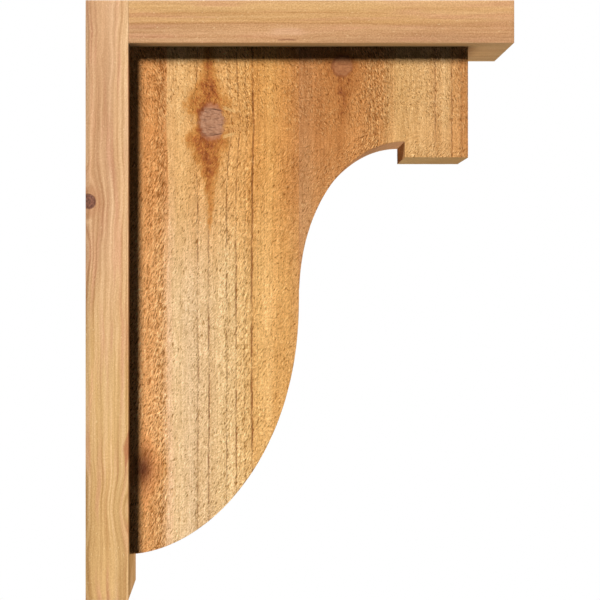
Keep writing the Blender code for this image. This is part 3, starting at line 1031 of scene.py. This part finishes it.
    # end grain
    end = t.band(t.normal_axis(long_axis), 0.5, 0.9, 0.0, 1.0)
    cells = t.noise(t.vmath("MULTIPLY", p, (1.4, 1.4, 1.4)), 1.0, 2.0, 0.6)
    endcol = t.shade(t.mix(0.35, col, srgb(184, 130, 84)), t.math("SUBTRACT", 0.86, t.mul(late, 0.22)))
    endcol = t.shade(endcol, t.band(cells, 0.3, 0.7, 0.92, 1.05, "LINEAR"))
    col = t.mix(end, col, endcol)

    # relief in millimetres: a little fuzz, and the hard lines stand up
    height = t.add(t.mul(fibre, 0.03), t.mul(late, 0.05))
    height = t.add(height, t.mul(sand, 0.085))
    height = t.add(height, t.mul(cells, t.mul(end, 0.10)))
    height = t.math("SUBTRACT", height, t.mul(rim, 0.12))
    normal = t.bump(height, 1.0, 0.001)
    t.put(t.bsdf.inputs["Base Color"], col)
    t.put(t.bsdf.inputs["Roughness"], t.band(fibre, -1.0, 1.0, 0.64, 0.52, "LINEAR"))
    t.put(t.bsdf.inputs["Normal"], normal)
    t.bsdf.inputs["Specular IOR Level"].default_value = 0.28
    return t.mat


# ---------------------------------------------------------------- camera

cam_data = bpy.data.cameras.new("photo_view")
cam_data.sensor_width = 36.0
cam_data.lens = 92.77
cam_data.shift_x = 0.1087
cam_data.shift_y = 0.0094
cam_data.clip_end = 50.0
cam_data.dof.use_dof = False
camera = bpy.data.objects.new("photo_view", cam_data)
camera.location = (6.963 * INCH, -2.75 * INCH - 72.1 * INCH, TOP_Z - 14.252 * INCH)
camera.rotation_euler = (math.radians(90.0), 0.0, 0.0)
bpy.context.collection.objects.link(camera)
bpy.context.scene.camera = camera


# ---------------------------------------------------------------- pieces

# Growth lines (place, half width, strength) and how torn each band is, by u.
INNER_LINES = [
    (5.21, 0.056, 0.55), (5.73, 0.056, 0.80), (6.58, 0.060, 0.56), (7.03, 0.060, 0.76),
    (7.44, 0.056, 0.40), (7.79, 0.074, 0.88), (8.05, 0.050, 0.38), (8.36, 0.050, 0.36),
]
INNER_TORN = [(0.5, 0.5), (2.3, 0.48), (2.9, 0.52), (3.45, 0.74), (3.68, 0.65), (3.80, 0.05),
              (4.9, 0.1), (5.15, 0.50), (5.35, 0.25), (6.2, 0.30), (6.42, 0.45), (6.60, 0.62),
              (6.76, 0.45), (7.30, 0.50), (7.46, 0.66), (7.70, 0.5), (8.1, 0.30), (8.6, 0.22), (10.0, 0.32)]
OUTER_LINES = [(10.62, 0.055, 0.35), (11.2, 0.055, 0.4), (13.35, 0.055, 0.45), (14.4, 0.050, 0.40),
               (16.46, 0.065, 0.54), (17.24, 0.050, 0.76), (17.70, 0.060, 0.52)]
OUTER_TORN = [(10.0, 0.2), (11.0, 0.35), (12.4, 0.45), (13.5, 0.8), (14.2, 0.7), (14.45, 0.2),
              (16.0, 0.25), (16.3, 0.52), (16.6, 0.60), (16.8, 0.4), (17.2, 0.45), (18.0, 0.55),
              (20.0, 0.5)]

INNER_UV = {
    "size": 24.4,
    "near": (0.15, 0.2), "far": (8.45, 0.2),
    "strips": {  # u0, v0, scale across, scale along
        "side": (16.75, 0.2, 1.0, 1.0),
        "curve": (20.5, 0.2, 1.0, 1.0),
        "seam": (20.5, 17.6, 0.5, 0.5),
        "top": (22.5, 17.6, 0.5, 0.75),
    },
}
OUTER_UV = {
    "size": 16.7,
    "near": (0.15, 0.15), "far": (8.4, 0.15),
    "strips": {
        "curve": (0.15, 12.0, 1.0, 0.42),
        "step": (3.85, 12.0, 1.0, 1.0),
        "tab": (3.85, 13.0, 1.0, 1.0),
        "end": (7.55, 12.0, 1.0, 0.85),
        "top": (11.25, 12.0, 0.8, 0.5),
        "seam": (14.25, 12.0, 0.6, 0.35),
        "seam_foot": (14.25, 16.3, 0.6, 1.0),
    },
}


def inner_relief(u, X, Y, T, e):
    return sawn_depth(u, X, Y, T, e, [(3.3, 0.5, 0.9), (5.25, 0.2, 0.5), (6.6, 0.25, 0.7),
                                      (7.5, 0.4, 0.7), (9.3, 0.8, 0.3)],
                      [(c, 0.065, s) for c, _, s in INNER_LINES], 100)


def outer_relief(u, X, Y, T, e):
    return sawn_depth(u, X, Y, T, e, [(13.2, 0.7, 0.9), (16.45, 0.2, 0.9), (17.6, 0.4, 0.7),
                                      (11.2, 0.5, 0.2)],
                      [(c, 0.060, s) for c, _, s in OUTER_LINES], 200)


inner = plank_mesh("inner_plank_sawn", inner_paths(), (0.066, 0.084), 0.075, 22,
                   inner_fields, inner_relief, 100, None, INNER_UV)
outer_path = outer_paths()
outer = plank_mesh("outer_plank_sawn", outer_path, (0.052, 0.066), 0.06, 26,
                   outer_fields, outer_relief, 200, (SEAM_X, outer_path[0][1][0][1]), OUTER_UV)

LEG_UV = {
    (1, 0): (0.008, 0.006, 0.077, 0.0330, 0),
    (1, 1): (0.172, 0.006, 0.077, 0.0330, 0),
    (0, 0): (0.336, 0.006, 0.0585, 0.0330, 0),
    (0, 1): (0.668, 0.006, 0.0585, 0.0330, 0),
    (2, 0): (0.008, 0.945, 0.060, 0.024, 1),
    (2, 1): (0.350, 0.945, 0.060, 0.024, 1),
}
ARM_UV = {
    (1, 0): (0.008, 0.006, 0.077, 0.0500, 1),
    (1, 1): (0.172, 0.006, 0.077, 0.0500, 1),
    (2, 0): (0.336, 0.006, 0.0585, 0.0500, 1),
    (2, 1): (0.668, 0.006, 0.0585, 0.0500, 1),
    (0, 0): (0.008, 0.925, 0.060, 0.032, 0),
    (0, 1): (0.350, 0.925, 0.060, 0.032, 0),
}
leg = board_mesh("wall_leg_planed", (0.0, -2.75, -28.0), (2.0, 2.75, 0.0), (0.062, 0.10, 0.15),
                 (0.030, 0.018, 0.018), (0.004, 0.018, 0.018),
                 leg_fields, lambda u, A, Y, L, e: planed_depth(u, A, Y, L, e, 300), 2, LEG_UV)
arm = board_mesh("top_arm_planed", (2.001, -2.75, -2.0), (20.0, 2.75, 0.0), (0.15, 0.10, 0.062),
                 (0.003, 0.018, 0.012), (0.018, 0.018, 0.018),
                 arm_fields, lambda u, A, Y, L, e: planed_depth(u, A, Y, L, e, 400), 0, ARM_UV)

inner.data.materials.append(sawn_material(
    "sawn_cedar_inner", 0.4, 10.4,
    upper=[(0.4, srgb(208, 146, 88)), (2.6, srgb(214, 148, 88)), (3.2, srgb(204, 138, 78)),
           (3.72, srgb(208, 144, 86)), (3.82, srgb(222, 173, 116)), (4.6, srgb(221, 173, 114)),
           (5.3, srgb(216, 161, 99)), (6.5, srgb(222, 167, 104)), (7.3, srgb(225, 169, 103)),
           (7.8, srgb(211, 149, 81)), (8.6, srgb(214, 156, 88)), (9.3, srgb(206, 144, 80)),
           (10.0, srgb(194, 132, 76))],
    lower=[(0.4, srgb(218, 158, 102)), (2.6, srgb(228, 165, 105)), (3.4, srgb(224, 165, 107)),
           (3.66, srgb(225, 174, 124)), (3.82, srgb(226, 184, 142)), (4.2, srgb(225, 190, 144)),
           (4.9, srgb(223, 189, 147)), (5.6, srgb(225, 189, 143)), (6.6, srgb(231, 194, 142)),
           (7.5, srgb(228, 184, 124)), (7.9, srgb(222, 171, 106)), (8.1, srgb(229, 180, 114)),
           (8.6, srgb(229, 180, 115)), (8.85, srgb(221, 168, 102)), (9.4, srgb(219, 165, 98)),
           (10.0, srgb(207, 152, 93))],
    fade=(-7.3, -13.9), lines=INNER_LINES, line_col=srgb(146, 82, 32), torn=INNER_TORN,
    flame_col=(srgb(210, 142, 70), srgb(188, 112, 48), srgb(162, 84, 34), srgb(128, 58, 20),
               srgb(106, 44, 22)),
    knot_col=(srgb(166, 116, 86), srgb(192, 142, 110), srgb(116, 78, 58),
              srgb(174, 110, 74), srgb(190, 128, 90), srgb(140, 76, 42)),
    rim_at=5.60 * 25.4))
outer.data.materials.append(sawn_material(
    "sawn_cedar_outer", 9.6, 20.2,
    upper=[(9.6, srgb(182, 124, 76)), (10.3, srgb(184, 126, 76)), (10.9, srgb(190, 128, 74)),
           (11.7, srgb(186, 124, 68)), (12.6, srgb(198, 136, 78)), (13.8, srgb(200, 138, 80)),
           (14.25, srgb(203, 150, 93)), (14.7, srgb(208, 162, 105)), (16.0, srgb(213, 167, 111)),
           (16.5, srgb(213, 162, 106)), (17.0, srgb(219, 174, 119)), (17.3, srgb(209, 154, 97)),
           (18.0, srgb(191, 131, 76)), (20.2, srgb(190, 132, 80))],
    lower=[(9.6, srgb(190, 135, 89)), (10.3, srgb(193, 141, 93)), (10.9, srgb(200, 142, 88)),
           (12.6, srgb(200, 138, 82)), (13.8, srgb(206, 150, 92)), (14.7, srgb(214, 166, 108)),
           (16.0, srgb(214, 166, 110)), (18.0, srgb(200, 142, 84)), (20.2, srgb(200, 142, 88))],
    fade=(-4.5, -9.5), lines=OUTER_LINES, line_col=srgb(144, 80, 32), torn=OUTER_TORN,
    flame_col=(srgb(196, 128, 68), srgb(188, 118, 58), srgb(172, 102, 48), srgb(150, 82, 38),
               srgb(118, 58, 30)),
    knot_col=(srgb(160, 100, 60), srgb(180, 120, 76), srgb(136, 80, 48),
              srgb(160, 100, 60), srgb(180, 120, 76), srgb(132, 72, 42)),
    rim_at=11.9 * 25.4, vigour=0.88, fine=1.10, tab_at=TAB_X))
leg.data.materials.append(planed_material(
    "planed_cedar_leg", 2, 3.0, 6.2,
    near=[(3.0, srgb(206, 158, 112)), (3.95, srgb(202, 154, 112)), (4.3, srgb(207, 159, 114)),
          (4.75, srgb(215, 167, 122)), (5.0, srgb(227, 182, 138)), (5.3, srgb(218, 172, 124)),
          (5.6, srgb(227, 183, 134)), (6.2, srgb(214, 168, 118))],
    away=[(3.0, srgb(210, 168, 110)), (4.1, srgb(208, 166, 108)), (4.4, srgb(214, 171, 112)),
          (5.0, srgb(220, 177, 118)), (5.7, srgb(217, 174, 115)), (6.2, srgb(208, 163, 107))],
    fade=(-11.0, -18.0), pink=(srgb(214, 154, 118), 0.60),
    knot_col=(srgb(106, 64, 48), srgb(152, 100, 76)), streaks=(1.6, 7.2, 0.85, 0.50, 0.35),
    # edge: painted shade over the leg's first few millimetres from X = 0
    sandy=0.10, edge=(0, 3.2, 5.6, 0.79)))
arm.data.materials.append(planed_material(
    "planed_cedar_arm", 0, 3.4, 7.0,
    near=[(3.4, srgb(206, 158, 102)), (4.85, srgb(218, 171, 119)), (5.1, srgb(216, 169, 110)),
          (5.29, srgb(211, 163, 104)), (5.33, srgb(199, 146, 89)), (5.38, srgb(210, 161, 103)),
          (5.66, srgb(208, 158, 100)), (5.71, srgb(194, 142, 89)), (5.80, srgb(205, 155, 106)),
          (6.2, srgb(201, 151, 104)), (6.4, srgb(196, 147, 102)), (7.0, srgb(196, 148, 102))],
    away=[(3.4, srgb(206, 156, 102)), (4.85, srgb(217, 168, 118)), (5.2, srgb(212, 163, 108)),
          (5.5, srgb(208, 158, 104)), (5.71, srgb(198, 146, 97)), (6.4, srgb(200, 150, 106)),
          (7.0, srgb(196, 148, 104))],
    fade=(13.5, 17.5), pink=(srgb(208, 148, 110), 0.45),
    knot_col=(srgb(120, 76, 56), srgb(156, 106, 80)), streaks=(1.1, 8.5, 0.34, 0.16, 0.26),
    sandy=0.15, scar=(9.40 * 25.4, TOP_Z * 1000.0 - 1.84 * 25.4)))
for board in (leg, arm):
    board.visible_diffuse = False  # keeps the deep corner of the recess dark

for piece, node, slot in ((leg, "wall_leg", "leg_cedar"), (arm, "top_arm", "arm_cedar"),
                          (inner, "inner_plank", "inner_plank_cedar"),
                          (outer, "outer_plank", "outer_plank_cedar")):
    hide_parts(node)
    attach(piece, "root")


# ---------------------------------------------------------------- studio

def sun(name, travel, strength, angle, colour=(1.0, 1.0, 1.0)):
    data = bpy.data.lights.new(name, "SUN")
    data.energy = strength
    data.angle = math.radians(angle)
    data.color = colour
    lamp = bpy.data.objects.new(name, data)
    lamp.rotation_euler = Vector(travel).to_track_quat("-Z", "Y").to_euler()
    bpy.context.collection.objects.link(lamp)
    return lamp


sun("key_front_left", (0.53, 1.0, -0.725), 4.45, 15.0, (1.0, 0.99, 0.97))
sun("under_fill", (0.05, 0.0, 1.0), 1.75, 12.0)
sun("under_back_fill", (0.10, -0.6, 1.0), 0.5, 30.0)
sun("side_fill", (-1.0, -0.30, 0.05), 1.85, 30.0, (1.0, 0.88, 0.66))
sun("back_fill", (-0.35, -1.0, -0.6), 2.6, 25.0)

floor_mesh = bpy.data.meshes.new("studio_floor")
steps = 96
ring = [(0.2 + 3.2 * math.cos(2 * math.pi * i / steps), 3.2 * math.sin(2 * math.pi * i / steps), -1.0)
        for i in range(steps)]
floor_mesh.from_pydata(ring, [], [list(range(steps))])
floor = bpy.data.objects.new("studio_floor", floor_mesh)
bpy.context.collection.objects.link(floor)
floor_mat = Tree("studio_floor")
floor_mat.put(floor_mat.bsdf.inputs["Base Color"], srgb(238, 238, 236))
floor_mat.bsdf.inputs["Roughness"].default_value = 0.9
floor.data.materials.append(floor_mat.mat)
floor.visible_diffuse = False
floor.visible_glossy = False
floor.visible_shadow = False

world = bpy.data.worlds.new("studio")
bpy.context.scene.world = world
world.use_nodes = True
wt = world.node_tree
wt.nodes.clear()
w_out = wt.nodes.new("ShaderNodeOutputWorld")
w_mix = wt.nodes.new("ShaderNodeMixShader")
w_path = wt.nodes.new("ShaderNodeLightPath")
w_dim = wt.nodes.new("ShaderNodeBackground")
w_seen = wt.nodes.new("ShaderNodeBackground")
w_dim.inputs[0].default_value = (1.0, 0.96, 0.90, 1.0)
w_dim.inputs[1].default_value = 0.03
w_seen.inputs[0].default_value = (1.0, 1.0, 1.0, 1.0)
w_seen.inputs[1].default_value = 1.0
wt.links.new(w_path.outputs["Is Camera Ray"], w_mix.inputs[0])
wt.links.new(w_dim.outputs[0], w_mix.inputs[1])
wt.links.new(w_seen.outputs[0], w_mix.inputs[2])
wt.links.new(w_mix.outputs[0], w_out.inputs[0])
bpy.context.scene.view_settings.view_transform = "Standard"
